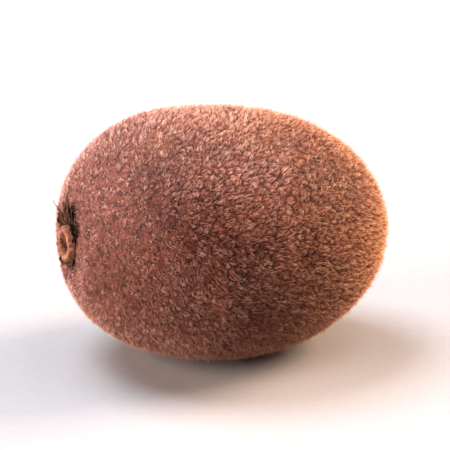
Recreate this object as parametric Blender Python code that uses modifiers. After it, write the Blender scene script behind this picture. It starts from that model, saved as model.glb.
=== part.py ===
"""A whole kiwi fruit, lying on its side on a small flat spot.

Four pieces: the fruit, the woody scar where its stalk broke off, the whorl of dried sepals round that
scar, and the dried styles at the blossom end. Metres, +Z up. The long axis runs along X, with the stem
end towards -X and tilted up a little. The origin is at the middle of the bottom of the whole box.
"""

import math
import random

import bmesh
import bpy
from mathutils import Matrix, Vector

MM = 0.001

# The fruit
LENGTH = 67.0 * MM
WIDTH = 54.5 * MM
HEIGHT = 51.0 * MM
WIDEST_AT = 0.45  # share of the length from the stem end to the widest section
STEM_FULLNESS = 2.3  # exponent of the outline; 2 is an ellipse, more is blunter
BLOSSOM_FULLNESS = 2.1
SHOULDER_LIFT = 1.3 * MM  # the upper shoulder near the stem end is fuller than the lower one
SHOULDER_AT = -0.24 * LENGTH
SHOULDER_SPREAD = 0.27 * LENGTH
AXIS_TILT = math.radians(1.5)  # the stem end lies a little higher
FLAT_DEPTH = 0.5 * MM  # how much of the round underside the flat spot takes away

# Gentle swellings of the skin: share of the radius, waves round, waves along, phase
SWELLINGS = (
    (0.0070, 2, 1, 0.6),
    (0.0060, 3, 1, 2.1),
    (0.0045, 5, 2, 4.0),
    (0.0035, 4, 3, 1.3),
)

# The shallow dish that holds the sepals and the scar
STEM_DISH_FLOOR = 5.9 * MM  # radius of its flat floor
STEM_DISH_RIM = 9.6 * MM
STEM_DISH_DEPTH = 1.3 * MM
STEM_DISH_UNEVENNESS = 0.05  # share by which its radius varies round it
RIM_SPREAD = 1.6 * MM  # width of the folds on either rim
PUCKERS = 9  # folds of the skin round the rims
PUCKER_HEIGHT = 0.14 * MM

# The small puckered hollow at the blossom end
BLOSSOM_DISH_FLOOR = 2.2 * MM
BLOSSOM_DISH_RIM = 4.8 * MM
BLOSSOM_DISH_DEPTH = 1.0 * MM
BLOSSOM_LIP = 0.4 * MM

# The mesh of the fruit
SEGMENTS = 60
RINGS = 46
CROWDING = 0.6  # how much closer the rings lie near the two ends

# Touching pieces keep this gap
GAP = 0.3 * MM

# The woody stem scar
SCAR_RADIUS = 3.8 * MM
SCAR_THICKNESS = 1.15 * MM
SCAR_PIT_RADIUS = 1.6 * MM
SCAR_NIPPLE_RADIUS = 0.4 * MM  # the broken vessel that stands up in the pit
SCAR_STEPS = 40
# Wear of its edge: share of the radius, waves round, phase
SCAR_WEAR = ((0.035, 3, 0.5), (0.020, 7, 2.0))
SCAR_WARP = (0.13 * MM, 4, 1.2)  # rise and fall of its brim: height, waves round, phase

# The dried sepals and the disc that they grow from, which the scar stands on
DISC_RADIUS = 5.7 * MM
DISC_THICKNESS = 0.6 * MM
DISC_BRIM = 0.85 * MM  # thickness of its raised brim
DISC_STEPS = 36
SEPAL_THICKNESS = 0.6 * MM
SEPAL_ROOT = 5.15 * MM  # distance of each root from the axis
SEPAL_HALF_WIDTH = 2.2 * MM
SEPAL_SWELL, SEPAL_TAPER = 0.25, 1.05  # how the half width grows and shrinks towards the tip
SEPAL_CURL = 2.2  # exponent of the rise along the blade; more keeps the curl nearer the tip
SEPAL_ROLL = 0.35 * MM  # how far its two long edges roll up
SEPAL_WANDER = 0.10  # radians by which the tip leaves the straight line
# One row each: angle round the scar in degrees from the top, length, rise of the curled tip
SEPALS = (
    (3.0, 5.2 * MM, 0.4 * MM),
    (68.0, 3.4 * MM, 0.9 * MM),
    (142.0, 2.3 * MM, 0.4 * MM),
    (218.0, 2.5 * MM, 0.5 * MM),
    (290.0, 3.7 * MM, 0.7 * MM),
)

# The dried styles
BUTTON_RADIUS = 1.7 * MM
BUTTON_HEIGHT = 1.0 * MM
STYLE_COUNT = 15
STYLE_RADIUS = 0.32 * MM
STYLE_ROOT_SWELL = 1.15  # a strand is this much thicker at its root
STYLE_ROOT = 0.9 * MM  # distance of each root from the axis
STYLE_REACH = (2.4 * MM, 3.7 * MM)
STYLE_ARCH = (0.2 * MM, 0.7 * MM)
STYLE_CURL = (0.0, 0.9 * MM)  # how far a tip lifts off the skin
STYLE_SWAY = (-0.5, 0.5)  # radians by which a strand turns round the axis on its way out
STYLE_CLEARANCE = 0.15 * MM  # kept free under a strand, besides the gap
STYLE_POINTS = 6
STYLE_SEED = 11

STEM_REACH = WIDEST_AT * LENGTH
BLOSSOM_REACH = (1.0 - WIDEST_AT) * LENGTH
MEAN_RADIUS = (WIDTH + HEIGHT) / 4.0
STEM, BLOSSOM = -1.0, 1.0


def smooth_step(value, low, high):
    """0 below low, 1 above high, and a smooth slope between."""
    share = min(max((value - low) / (high - low), 0.0), 1.0)
    return share * share * (3.0 - 2.0 * share)


def bump(value, middle, spread):
    """A soft hump of height 1 at middle."""
    return math.exp(-(((value - middle) / spread) ** 2))


def skin_point(angle, around):
    """The skin at an angle from the stem pole, 0 to pi, and an angle round the long axis."""
    end = STEM if angle < math.pi / 2.0 else BLOSSOM
    fullness = STEM_FULLNESS if end == STEM else BLOSSOM_FULLNESS
    reach = STEM_REACH if end == STEM else BLOSSOM_REACH
    along = -math.cos(angle)
    radius = max(1.0 - abs(along) ** fullness, 0.0) ** (1.0 / fullness)
    swelling = sum(
        height * math.cos(round_waves * around + phase) * math.sin(long_waves * angle + phase)
        for height, round_waves, long_waves, phase in SWELLINGS
    )
    radius *= 1.0 + swelling * math.sin(angle)
    x = reach * along - end * dish_depth(end, radius * MEAN_RADIUS, around)
    lift = SHOULDER_LIFT * bump(x, SHOULDER_AT, SHOULDER_SPREAD)
    y = radius * math.cos(around) * WIDTH / 2.0
    z = radius * math.sin(around) * HEIGHT / 2.0 + lift
    return Vector((x, y, z))


def dish_depth(end, distance, around):
    """How far the skin sinks towards the middle of the fruit, at a distance from the long axis."""
    folds = PUCKER_HEIGHT * math.cos(PUCKERS * around)
    if end == STEM:
        uneven = 1.0 + STEM_DISH_UNEVENNESS * math.cos(3.0 * around + 1.0)
        slope = smooth_step(distance / uneven, STEM_DISH_FLOOR, STEM_DISH_RIM)
        return STEM_DISH_DEPTH * (1.0 - slope) + folds * bump(distance, STEM_DISH_RIM, RIM_SPREAD)
    slope = smooth_step(distance, BLOSSOM_DISH_FLOOR, BLOSSOM_DISH_RIM)
    lip = (BLOSSOM_LIP - folds) * bump(distance, BLOSSOM_DISH_RIM, RIM_SPREAD)
    return BLOSSOM_DISH_DEPTH * (1.0 - slope) - lip


def angle_at(end, distance):
    """The angle from the stem pole at which the skin is about that far from the long axis."""
    fullness = STEM_FULLNESS if end == STEM else BLOSSOM_FULLNESS
    along = (1.0 - (distance / MEAN_RADIUS) ** fullness) ** (1.0 / fullness)
    return math.acos(along) if end == STEM else math.pi - math.acos(along)


def above_skin(end, distance, around, height):
    """A point at a height over the skin, at a distance from the long axis near one end."""
    angle = angle_at(end, max(distance, 0.05 * MM))
    step = 0.004
    point = skin_point(angle, around)
    along = skin_point(angle + step, around) - skin_point(angle - step, around)
    across = skin_point(angle, around + step) - skin_point(angle, around - step)
    return point + along.cross(across).normalized() * -height


def material(name, colour, roughness):
    """A plain material. The colour is linear."""
    made = bpy.data.materials.new(name)
    made.use_nodes = True
    shader = made.node_tree.nodes["Principled BSDF"]
    shader.inputs["Base Color"].default_value = (*colour, 1.0)
    shader.inputs["Roughness"].default_value = roughness
    shader.inputs["Metallic"].default_value = 0.0
    made.diffuse_color = (*colour, 1.0)
    return made


def mesh_from(name, bm):
    """A mesh of a bmesh, with its faces pointing out. The bmesh is freed."""
    bmesh.ops.recalc_face_normals(bm, faces=bm.faces)
    mesh = bpy.data.meshes.new(name)
    bm.to_mesh(mesh)
    bm.free()
    return mesh


def object_from(name, mesh, collection):
    """Wraps a mesh in an object of the collection."""
    made = bpy.data.objects.new(name, mesh)
    collection.objects.link(made)
    return made


def finish(obj, surface):
    """Gives an object its material and smooth shading with crisp edges kept."""
    obj.data.materials.clear()
    obj.data.materials.append(surface)
    obj.data.shade_smooth()
    obj.data.set_sharp_from_angle(angle=math.radians(50.0))


def evaluated_mesh(obj):
    """A closed mesh of the object with its modifiers applied and its loose seams welded."""
    bpy.context.view_layer.update()
    graph = bpy.context.evaluated_depsgraph_get()
    mesh = bpy.data.meshes.new_from_object(obj.evaluated_get(graph))
    bm = bmesh.new()
    bm.from_mesh(mesh)
    bpy.data.meshes.remove(mesh)
    bmesh.ops.remove_doubles(bm, verts=bm.verts, dist=0.001 * MM)
    return mesh_from(obj.name, bm)


def fuse(base, repeats):
    """Joins a collection's objects to the base by a Boolean union, then removes them."""
    union = base.modifiers.new("union", "BOOLEAN")
    union.operation = "UNION"
    union.solver = "EXACT"
    union.operand_type = "COLLECTION"
    union.collection = repeats
    joined = evaluated_mesh(base)
    base.modifiers.clear()
    base.data = joined
    for obj in list(repeats.objects):
        bpy.data.objects.remove(obj)
    bpy.data.collections.remove(repeats)


def working_collection(name):
    """A collection of repeats that are fused into one piece and removed."""
    made = bpy.data.collections.new(name)
    bpy.context.scene.collection.children.link(made)
    return made


def lowest_point(bm, tilted):
    """Height of the lowest vertex once the fruit is tilted."""
    return min((tilted @ vertex.co).z for vertex in bm.verts)


def make_fruit(parts):
    """The whole fruit: a sphere drawn out to the kiwi's form, with a flat spot underneath."""
    bm = bmesh.new()
    bmesh.ops.create_uvsphere(bm, u_segments=SEGMENTS, v_segments=RINGS, radius=1.0)
    for vertex in bm.verts:
        angle = math.acos(max(-1.0, min(1.0, vertex.co.z)))
        angle -= CROWDING / 2.0 * math.sin(2.0 * angle)
        vertex.co = skin_point(angle, math.atan2(vertex.co.y, vertex.co.x))
    tilted = Matrix.Rotation(AXIS_TILT, 4, "Y")
    floor = lowest_point(bm, tilted) + FLAT_DEPTH
    down = tilted.inverted() @ Vector((0.0, 0.0, -1.0))
    cut = bmesh.ops.bisect_plane(
        bm,
        geom=bm.verts[:] + bm.edges[:] + bm.faces[:],
        dist=0.02 * MM,
        plane_co=down * -floor,
        plane_no=down,
        clear_outer=True,
    )
    rim = [part for part in cut["geom_cut"] if isinstance(part, bmesh.types.BMEdge)]
    bmesh.ops.contextual_create(bm, geom=rim)
    fruit = object_from("fruit", mesh_from("fruit", bm), parts)
    finish(fruit, material("hairy_skin", (0.300, 0.125, 0.070), 0.85))
    return fruit, floor


def scar_profile():
    """Half of the scar's section, as distance from its axis and height over its foot."""
    brim = SCAR_THICKNESS
    nipple = SCAR_NIPPLE_RADIUS
    return (
        (0.0, 0.70 * MM),
        (nipple, 0.63 * MM),
        (2.1 * nipple, 0.38 * MM),
        (0.75 * SCAR_PIT_RADIUS, 0.35 * MM),
        (SCAR_PIT_RADIUS, 0.70 * MM),
        (1.25 * SCAR_PIT_RADIUS, brim - 0.20 * MM),
        (0.70 * SCAR_RADIUS, brim - 0.08 * MM),
        (0.84 * SCAR_RADIUS, brim),
        (0.95 * SCAR_RADIUS, brim - 0.16 * MM),
        (SCAR_RADIUS, brim - 0.50 * MM),
        (0.97 * SCAR_RADIUS, 0.20 * MM),
        (0.90 * SCAR_RADIUS, 0.0),
        (0.0, 0.0),
    )


def turned_mesh(name, profile, steps, repeats):
    """The mesh of a profile turned once round the Z axis."""
    bm = bmesh.new()
    chain = [bm.verts.new((distance, 0.0, height)) for distance, height in profile]
    for first, second in zip(chain, chain[1:]):
        bm.edges.new((first, second))
    section = object_from(name, mesh_from(name, bm), repeats)
    turn = section.modifiers.new("turn", "SCREW")
    turn.angle = 2.0 * math.pi
    turn.steps = turn.render_steps = steps
    turn.use_merge_vertices = True
    turn.merge_threshold = 0.01 * MM
    mesh = evaluated_mesh(section)
    bpy.data.objects.remove(section)
    return mesh


def worn(point):
    """A point of the turned scar, moved to give it a worn, uneven brim."""
    around = math.atan2(point.y, point.x)
    distance = math.hypot(point.x, point.y)
    share = smooth_step(distance, SCAR_NIPPLE_RADIUS, SCAR_RADIUS)
    wear = sum(depth * math.cos(waves * around + phase) for depth, waves, phase in SCAR_WEAR)
    height, waves, phase = SCAR_WARP
    above = smooth_step(point.z, 0.0, SCAR_THICKNESS) * share
    warp = above * height * math.cos(waves * around + phase)
    widened = 1.0 + wear * share
    return Vector((point.x * widened, point.y * widened, point.z + warp))


def make_scar(parts):
    """The ring of wood that the stalk left, turned round its axis and then made uneven."""
    mesh = turned_mesh("stem_scar", scar_profile(), SCAR_STEPS, parts)
    for vertex in mesh.vertices:
        vertex.co = worn(vertex.co)
    scar = object_from("stem_scar", mesh, parts)
    scar.location = skin_point(0.0, 0.0) + Vector((-2.0 * GAP - DISC_THICKNESS, 0.0, 0.0))
    scar.rotation_euler = (0.0, -math.pi / 2.0, 0.0)
    finish(scar, material("woody_scar", (0.600, 0.390, 0.245), 0.70))
    return scar


def make_sepal(name, heading, length, rise, repeats):
    """One dried sepal: a tapering blade that follows the skin out of the disc and curls up."""
    bm = bmesh.new()
    bmesh.ops.create_grid(bm, x_segments=5, y_segments=4, size=1.0)
    for vertex in bm.verts:
        out = (vertex.co.x + 1.0) / 2.0
        side = vertex.co.y
        half_width = SEPAL_HALF_WIDTH * (1.0 + SEPAL_SWELL * out - SEPAL_TAPER * out * out)
        distance = SEPAL_ROOT + length * out
        wander = SEPAL_WANDER * math.sin(3.0 * out + heading)
        around = heading + wander + half_width * side / distance
        rolled = SEPAL_ROLL * side * side * out
        height = GAP + DISC_BRIM / 2.0 + rise * out**SEPAL_CURL + rolled
        vertex.co = above_skin(STEM, distance, around, height)
    sepal = object_from(name, mesh_from(name, bm), repeats)
    wall = sepal.modifiers.new("thickness", "SOLIDIFY")
    wall.thickness = SEPAL_THICKNESS
    wall.offset = 0.0
    return sepal


def disc_profile():
    """Half of the disc's section, as distance from its axis and height over its foot."""
    return (
        (0.0, DISC_THICKNESS),
        (0.76 * DISC_RADIUS, DISC_THICKNESS),
        (0.86 * DISC_RADIUS, DISC_THICKNESS),
        (0.90 * DISC_RADIUS, DISC_BRIM),
        (0.96 * DISC_RADIUS, 0.92 * DISC_BRIM),
        (DISC_RADIUS, 0.55 * DISC_BRIM),
        (0.97 * DISC_RADIUS, 0.10 * DISC_BRIM),
        (0.90 * DISC_RADIUS, 0.0),
        (0.0, 0.0),
    )


def make_calyx(parts):
    """The whorl of five dried sepals, fused into the disc that they grow from."""
    calyx = object_from("calyx", turned_mesh("calyx", disc_profile(), DISC_STEPS, parts), parts)
    foot = skin_point(0.0, 0.0) + Vector((-GAP, 0.0, 0.0))
    calyx.data.transform(Matrix.Translation(foot) @ Matrix.Rotation(-math.pi / 2.0, 4, "Y"))
    sepals = working_collection("sepals")
    for number, (degrees, length, rise) in enumerate(SEPALS, 1):
        heading = math.radians(90.0 + degrees)
        make_sepal(f"sepal_{number}", heading, length, rise, sepals)
    fuse(calyx, sepals)
    finish(calyx, material("dry_sepal", (0.060, 0.030, 0.020), 0.80))
    return calyx


def make_style(name, heading, rng, repeats):
    """One dried style: a thin strand that arches out of the button and over the skin."""
    curve = bpy.data.curves.new(name, "CURVE")
    curve.dimensions = "3D"
    curve.bevel_depth = STYLE_RADIUS
    curve.bevel_resolution = 1
    curve.use_fill_caps = True
    spline = curve.splines.new("POLY")
    spline.points.add(STYLE_POINTS - 1)
    reach = rng.uniform(*STYLE_REACH)
    sway = rng.uniform(*STYLE_SWAY)
    arch = rng.uniform(*STYLE_ARCH)
    curl = rng.uniform(*STYLE_CURL)
    for number, point in enumerate(spline.points):
        out = number / (STYLE_POINTS - 1)
        distance = STYLE_ROOT + reach * out
        height = GAP + STYLE_CLEARANCE + STYLE_RADIUS
        height += arch * math.sin(math.pi * out) + curl * out * out
        place = above_skin(BLOSSOM, distance, heading + sway * out, height)
        point.co = (*place, 1.0)
        point.radius = STYLE_ROOT_SWELL + (1.0 - STYLE_ROOT_SWELL) * out
    strand = bpy.data.objects.new(name, curve)
    repeats.objects.link(strand)
    solid = object_from(f"{name}_solid", evaluated_mesh(strand), repeats)
    solid.matrix_world = strand.matrix_world
    bpy.data.objects.remove(strand)
    return solid


def make_style_tuft(parts):
    """The button at the blossom end with the dried styles fused into it."""
    bm = bmesh.new()
    bmesh.ops.create_uvsphere(bm, u_segments=18, v_segments=10, radius=1.0)
    centre = skin_point(math.pi, 0.0) + Vector((GAP + BUTTON_HEIGHT / 2.0, 0.0, 0.0))
    for vertex in bm.verts:
        height = Vector((vertex.co.z * BUTTON_HEIGHT / 2.0, 0.0, 0.0))
        disc = Vector((0.0, vertex.co.x, vertex.co.y)) * BUTTON_RADIUS
        vertex.co = centre + height + disc
    tuft = object_from("style_tuft", mesh_from("style_tuft", bm), parts)
    styles = working_collection("styles")
    rng = random.Random(STYLE_SEED)
    for number in range(STYLE_COUNT):
        heading = 2.0 * math.pi * (number + rng.uniform(-0.25, 0.25)) / STYLE_COUNT
        make_style(f"style_{number + 1}", heading, rng, styles)
    fuse(tuft, styles)
    finish(tuft, material("dry_style", (0.040, 0.022, 0.015), 0.85))
    return tuft


def place_on_floor(pieces, floor):
    """Parents the pieces to one empty that tilts them and sets the box's middle on the origin."""
    holder = bpy.data.objects.new("kiwi_axis", None)
    bpy.context.scene.collection.objects.link(holder)
    for piece in pieces:
        piece.parent = holder
    holder.rotation_euler = (0.0, AXIS_TILT, 0.0)
    bpy.context.view_layer.update()
    corners = [piece.matrix_world @ vertex.co for piece in pieces for vertex in piece.data.vertices]
    middle_x = (min(c.x for c in corners) + max(c.x for c in corners)) / 2.0
    middle_y = (min(c.y for c in corners) + max(c.y for c in corners)) / 2.0
    holder.location = (-middle_x, -middle_y, -floor)
    bpy.context.view_layer.update()


def main():
    """Clears the scene and builds the kiwi."""
    for obj in list(bpy.data.objects):
        bpy.data.objects.remove(obj)
    parts = bpy.data.collections.new("kiwi_fruit")
    bpy.context.scene.collection.children.link(parts)
    fruit, floor = make_fruit(parts)
    pieces = [fruit, make_scar(parts), make_calyx(parts), make_style_tuft(parts)]
    place_on_floor(pieces, floor)


main()
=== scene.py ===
"""The looks of a whole kiwi fruit: its hairy skin, woody stem scar, dried sepals and dried styles.

Every size is in metres, in the frame of the solids: +X runs along the fruit from the stem end to the
blossom end, and +Z is up. The solids stay where they are, and finer pieces take their places.
"""

import logging
import math
from dataclasses import dataclass
from enum import Enum

import bpy
import numpy as np
from bpy.types import ID, Material, Mesh, Node, NodeSocket, NodeTree, Object
from mathutils import Matrix, Vector
from mathutils.bvhtree import BVHTree
from mathutils.kdtree import KDTree


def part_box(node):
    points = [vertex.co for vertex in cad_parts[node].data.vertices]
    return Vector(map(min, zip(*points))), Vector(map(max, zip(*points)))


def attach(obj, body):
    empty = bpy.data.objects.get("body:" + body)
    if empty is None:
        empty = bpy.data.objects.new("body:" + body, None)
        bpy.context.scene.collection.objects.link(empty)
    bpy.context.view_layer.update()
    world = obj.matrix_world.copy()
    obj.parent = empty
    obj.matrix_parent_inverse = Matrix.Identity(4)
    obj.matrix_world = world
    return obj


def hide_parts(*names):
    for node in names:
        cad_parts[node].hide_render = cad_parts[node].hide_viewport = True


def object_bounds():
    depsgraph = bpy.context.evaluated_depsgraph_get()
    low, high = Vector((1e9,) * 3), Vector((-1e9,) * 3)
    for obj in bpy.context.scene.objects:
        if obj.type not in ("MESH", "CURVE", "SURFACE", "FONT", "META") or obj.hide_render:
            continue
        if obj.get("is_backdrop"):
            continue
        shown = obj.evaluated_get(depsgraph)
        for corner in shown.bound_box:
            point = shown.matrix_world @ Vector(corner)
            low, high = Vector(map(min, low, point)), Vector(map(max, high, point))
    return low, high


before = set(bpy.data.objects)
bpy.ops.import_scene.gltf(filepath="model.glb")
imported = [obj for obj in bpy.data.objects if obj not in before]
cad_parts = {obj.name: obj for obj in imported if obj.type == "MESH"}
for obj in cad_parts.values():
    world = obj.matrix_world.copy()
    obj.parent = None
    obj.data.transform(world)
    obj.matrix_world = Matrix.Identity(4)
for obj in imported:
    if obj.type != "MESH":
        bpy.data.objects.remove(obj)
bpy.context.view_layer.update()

MM = 0.001
BODY = "root"
AXIS_TILT = math.radians(1.5)  # the stem end lies a little higher
HAIR_MAP = "OFBake"  # the hairs' own map, which holds the colour of each hair
RAY_HEIGHT = 30.0 * MM  # a ray towards the skin starts this far out
WELD = 0.001 * MM  # points closer than this become one
TINY = 1e-9  # keeps a division away from zero
STRAND_SWELL = 1.1  # a wisp or style is this much thicker at its root

Ramp = tuple[tuple[float, str], ...]  # a colour ramp's places and hex colours

log = logging.getLogger("kiwi")


class End(Enum):
    """The two ends of the fruit. The value is the way out along the axis."""

    STEM = -1.0
    BLOSSOM = 1.0

    @property
    def node(self) -> str:
        """The solid at this end."""
        return "stem_scar" if self is End.STEM else "style_tuft"


def linear(hex_colour: str) -> tuple[float, float, float, float]:
    """Turns an sRGB hex colour into linear RGBA.

    Args:
        hex_colour: six hex digits after a hash sign.

    Returns:
        The four linear values.
    """
    shares = [int(hex_colour[i : i + 2], 16) / 255.0 for i in (1, 3, 5)]
    values = [s / 12.92 if s <= 0.04045 else ((s + 0.055) / 1.055) ** 2.4 for s in shares]
    return (values[0], values[1], values[2], 1.0)


def per_metre(millimetres: float) -> float:
    """Returns the texture scale whose pattern repeats about every so many millimetres."""
    return 1.0 / (millimetres * MM)


def new_material(name: str) -> tuple[Material, NodeTree]:
    """Makes a material with a Principled shader, and returns it with its node tree."""
    material = bpy.data.materials.new(name)
    material.use_nodes = True
    return material, material.node_tree


def feed(tree: NodeTree, node: Node, inputs: dict) -> None:
    """Sets a node's inputs.

    Args:
        tree: the tree that the node is in.
        node: the node.
        inputs: for each input socket's name or number, a value or the socket that feeds it.
    """
    for socket, value in inputs.items():
        if isinstance(value, NodeSocket):
            tree.links.new(value, node.inputs[socket])
        else:
            node.inputs[socket].default_value = value


def add_node(
    tree: NodeTree,
    kind: str,
    inputs: dict | None = None,
    stops: Ramp = (),
    output: int | str = 0,
    **settings: object,
) -> NodeSocket:
    """Adds a node with its settings and links.

    Args:
        tree: the tree that takes the node.
        kind: the node's type name without ShaderNode in front.
        inputs: for each input socket's name or number, a value or the socket that feeds it.
        stops: a colour ramp's places and hex colours.
        output: the name or number of the output socket that is wanted.
        settings: the node's own properties.

    Returns:
        That output socket.
    """
    node = tree.nodes.new("ShaderNode" + kind)
    for name, value in settings.items():
        setattr(node, name, value)
    feed(tree, node, inputs or {})
    if stops:
        elements = node.color_ramp.elements
        while len(elements) < len(stops):
            elements.new(0.5)
        for element, (place, colour) in zip(elements, stops):
            element.position = place
            element.color = linear(colour)
    return node.outputs[output]


@dataclass(frozen=True)
class HairySkin:
    """Kiwi peel: a thin, dry, corky skin. It scatters light with almost no gloss, and the down on it
    gives its edges a soft pale bloom. The stem end is rosier than the rest."""

    patches: Ramp = ((0.30, "#3f2017"), (0.52, "#613320"), (0.74, "#804727"))
    mottling: Ramp = ((0.36, "#6a6461"), (0.50, "#cfcbc9"), (0.62, "#ffffff"))
    rosy: str = "#784a3e"
    rosy_most: float = 0.8
    rosy_from: float = 0.02  # share of the fruit's length
    rosy_to: float = 0.36
    speck: str = "#2b130b"
    bloom: str = "#e6b8a4"
    patch_mm: float = 9.0
    mottle_mm: float = 1.5
    speck_mm: float = 1.1
    wrinkle_mm: float = 0.5

    def material(self, stem_x: float, blossom_x: float) -> Material:
        """Builds the peel.

        Args:
            stem_x: where the fruit's stem end lies along X.
            blossom_x: where its blossom end lies along X.

        Returns:
            The material.
        """
        material, tree = new_material("kiwi_peel")
        place = add_node(tree, "TexCoord", output="Object")
        noise = {"Vector": place, "Scale": per_metre(self.patch_mm), "Detail": 3.0}
        base = add_node(tree, "ValToRGB", {0: add_node(tree, "TexNoise", noise)}, self.patches)
        length = blossom_x - stem_x
        limits = {1: stem_x + self.rosy_from * length, 2: stem_x + self.rosy_to * length}
        limits |= {0: add_node(tree, "SeparateXYZ", {0: place}, output="X"), 3: self.rosy_most, 4: 0.0}
        near_stem = add_node(tree, "MapRange", limits, interpolation_type="SMOOTHSTEP")
        colours = {0: near_stem, 6: base, 7: linear(self.rosy)}
        base = add_node(tree, "Mix", colours, output=2, data_type="RGBA")
        noise = {"Vector": place, "Scale": per_metre(self.mottle_mm), "Detail": 4.0, "Roughness": 0.7}
        mottle = add_node(tree, "TexNoise", noise)
        colours = {0: 1.0, 6: base, 7: add_node(tree, "ValToRGB", {0: mottle}, self.mottling)}
        base = add_node(tree, "Mix", colours, output=2, data_type="RGBA", blend_type="MULTIPLY")
        cells = {"Vector": place, "Scale": per_metre(self.speck_mm), "Randomness": 1.0}
        distance = add_node(tree, "TexVoronoi", cells, output="Distance")
        specks = add_node(tree, "MapRange", {0: distance, 1: 0.17, 2: 0.28, 3: 0.92, 4: 0.0})
        colours = {0: specks, 6: base, 7: linear(self.speck)}
        noise = {"Vector": place, "Scale": per_metre(self.wrinkle_mm), "Detail": 3.0}
        wrinkles = {"Height": add_node(tree, "TexNoise", noise), "Strength": 0.6, "Distance": 0.15 * MM}
        settings = {
            "Base Color": add_node(tree, "Mix", colours, output=2, data_type="RGBA"),
            "Roughness": add_node(tree, "MapRange", {0: mottle, 1: 0.3, 2: 0.7, 3: 0.62, 4: 0.9}),
            "Normal": add_node(tree, "Bump", wrinkles),
            "Specular IOR Level": 0.15,
            "Sheen Weight": 0.10,
            "Sheen Roughness": 0.45,
            "Sheen Tint": linear(self.bloom),
        }
        feed(tree, tree.nodes["Principled BSDF"], settings)
        return material


@dataclass(frozen=True)
class KiwiHair:
    """Kiwi hairs: dry, hollow plant hairs, dark at the root and straw-coloured at the tip. Their
    colour is held by each hair's own map: lightness across it, and rosy to golden up it."""

    rosy: Ramp = (
        (0.00, "#2e140d"),
        (0.25, "#653124"),
        (0.50, "#9e5b4c"),
        (0.75, "#ca9387"),
        (1.00, "#ecd2c9"),
    )
    golden: Ramp = (
        (0.00, "#2f140b"),
        (0.25, "#713416"),
        (0.50, "#b0602b"),
        (0.75, "#dc984f"),
        (1.00, "#f5cb8b"),
    )
    bloom: str = "#e6e0ee"

    def material(self) -> Material:
        """Builds the hair."""
        material, tree = new_material("kiwi_hair")
        spot = add_node(tree, "UVMap", uv_map=HAIR_MAP)
        lightness = add_node(tree, "SeparateXYZ", {0: spot}, output="X")
        colours = {
            0: lightness.node.outputs["Y"],
            6: add_node(tree, "ValToRGB", {0: lightness}, self.rosy),
            7: add_node(tree, "ValToRGB", {0: lightness}, self.golden),
        }
        settings = {
            "Base Color": add_node(tree, "Mix", colours, output=2, data_type="RGBA"),
            "Roughness": 0.5,
            "Specular IOR Level": 0.28,
            "Sheen Weight": 0.22,
            "Sheen Roughness": 0.5,
            "Sheen Tint": linear(self.bloom),
        }
        feed(tree, tree.nodes["Principled BSDF"], settings)
        return material


@dataclass(frozen=True)
class WoodyScar:
    """The broken end of the stalk: dry, pale wood with a corky brim, split along its fibres and
    stained dark in its pit."""

    rings: Ramp = (  # from the pit out to the edge
        (0.40, "#30140d"),
        (0.52, "#6d3a29"),
        (0.60, "#966850"),
        (0.68, "#bd957a"),
        (0.77, "#966850"),
        (0.83, "#875a46"),
    )
    splits: Ramp = ((0.36, "#7d6a5c"), (0.50, "#e9e2dc"), (0.70, "#ffffff"))
    pores: Ramp = ((0.32, "#8a7a70"), (0.55, "#ffffff"))
    stain: str = "#6f4434"
    grain_mm: float = 0.35
    stain_mm: float = 2.6
    splits_round: float = 5.5
    ragged: float = 0.45  # how far the splits push the rings in and out

    def material(self, at: Matrix, radius: float) -> Material:
        """Builds the wood.

        Args:
            at: the scar's own frame, with Z out of the fruit.
            radius: the scar's radius.

        Returns:
            The material.
        """
        material, tree = new_material("stalk_wood")
        place = add_node(tree, "TexCoord", output="Object")
        back = at.inverted()
        local = add_node(tree, "Mapping", {0: place, 1: back.to_translation(), 2: back.to_euler()})
        x = add_node(tree, "SeparateXYZ", {0: local})
        y = x.node.outputs[1]
        flat = add_node(tree, "CombineXYZ", {0: x, 1: y})
        distance = add_node(tree, "VectorMath", {0: flat}, output="Value", operation="LENGTH")
        share = add_node(tree, "Math", {0: distance, 1: radius}, operation="DIVIDE")
        turn = add_node(tree, "Math", {0: y, 1: x}, operation="ARCTAN2")
        noise = {"Vector": add_node(tree, "CombineXYZ", {0: turn, 1: share}), "Scale": self.splits_round}
        rays = add_node(tree, "TexNoise", noise | {"Detail": 4.0, "Roughness": 0.75})
        noise = {"Vector": place, "Scale": per_metre(self.grain_mm), "Detail": 3.0}
        grain = add_node(tree, "TexNoise", noise)
        pushed = add_node(tree, "Math", {0: rays, 1: self.ragged, 2: share}, operation="MULTIPLY_ADD")
        zone = add_node(tree, "MapRange", {0: pushed, 1: 0.0, 2: 1.5, 3: 0.0, 4: 1.0})
        base = add_node(tree, "ValToRGB", {0: zone}, self.rings)
        for strength, pattern, stops in ((0.8, rays, self.splits), (0.6, grain, self.pores)):
            colours = {0: strength, 6: base, 7: add_node(tree, "ValToRGB", {0: pattern}, stops)}
            base = add_node(tree, "Mix", colours, output=2, data_type="RGBA", blend_type="MULTIPLY")
        noise = {"Vector": place, "Scale": per_metre(self.stain_mm), "Detail": 2.0}
        blots = add_node(tree, "TexNoise", noise)
        stained = add_node(tree, "MapRange", {0: blots, 1: 0.50, 2: 0.68, 3: 0.0, 4: 0.75})
        colours = {0: stained, 6: base, 7: linear(self.stain)}
        bump = add_node(tree, "Bump", {"Height": rays, "Strength": 0.7, "Distance": 0.25 * MM})
        fine = {"Height": grain, "Strength": 0.6, "Distance": 0.12 * MM, "Normal": bump}
        settings = {
            "Base Color": add_node(tree, "Mix", colours, output=2, data_type="RGBA"),
            "Roughness": add_node(tree, "MapRange", {0: grain, 1: 0.3, 2: 0.7, 3: 0.8, 4: 1.0}),
            "Normal": add_node(tree, "Bump", fine),
            "Specular IOR Level": 0.15,
        }
        feed(tree, tree.nodes["Principled BSDF"], settings)
        return material


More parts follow.
